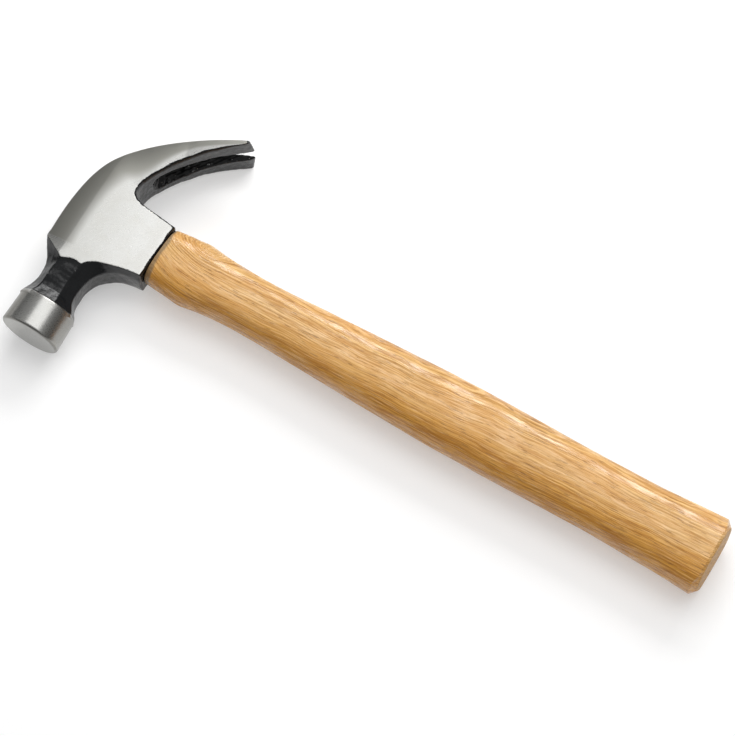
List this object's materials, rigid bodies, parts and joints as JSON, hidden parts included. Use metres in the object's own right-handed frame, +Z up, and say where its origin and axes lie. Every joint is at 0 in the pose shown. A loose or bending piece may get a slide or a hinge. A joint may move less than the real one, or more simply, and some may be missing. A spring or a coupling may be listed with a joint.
{
  "type": "claw hammer",
  "caption": "Curved-claw hammer with a forged steel head, round striking face, nail-pulling claw and a shaped oak handle wedged through the eye, lying on its side.",
  "frame": {"origin": "centre of the bounding box in X and Y, at the level of the bench that the hammer lies on", "axes": "+X along the handle from the top of the head to the butt, -Y the way the striking face looks, +Y towards the claw, +Z up across the head's width"},
  "size_m": [0.33, 0.1264, 0.029],
  "materials": {
    "head_steel": "polished forged steel on the cheeks, claw sides and striking end; gloss black paint on the neck, throat and claw underside",
    "handle_oak": "golden oak under clear gloss lacquer",
    "wedge_wood": "plain sawn hardwood",
    "wedge_steel": "dark unpolished steel"
  },
  "bodies": {
    "root": {"hammer_head": "head_steel", "handle": "handle_oak", "wood_wedge": "wedge_wood", "steel_wedge_1": "wedge_steel", "steel_wedge_2": "wedge_steel"}
  },
  "joints": []
}
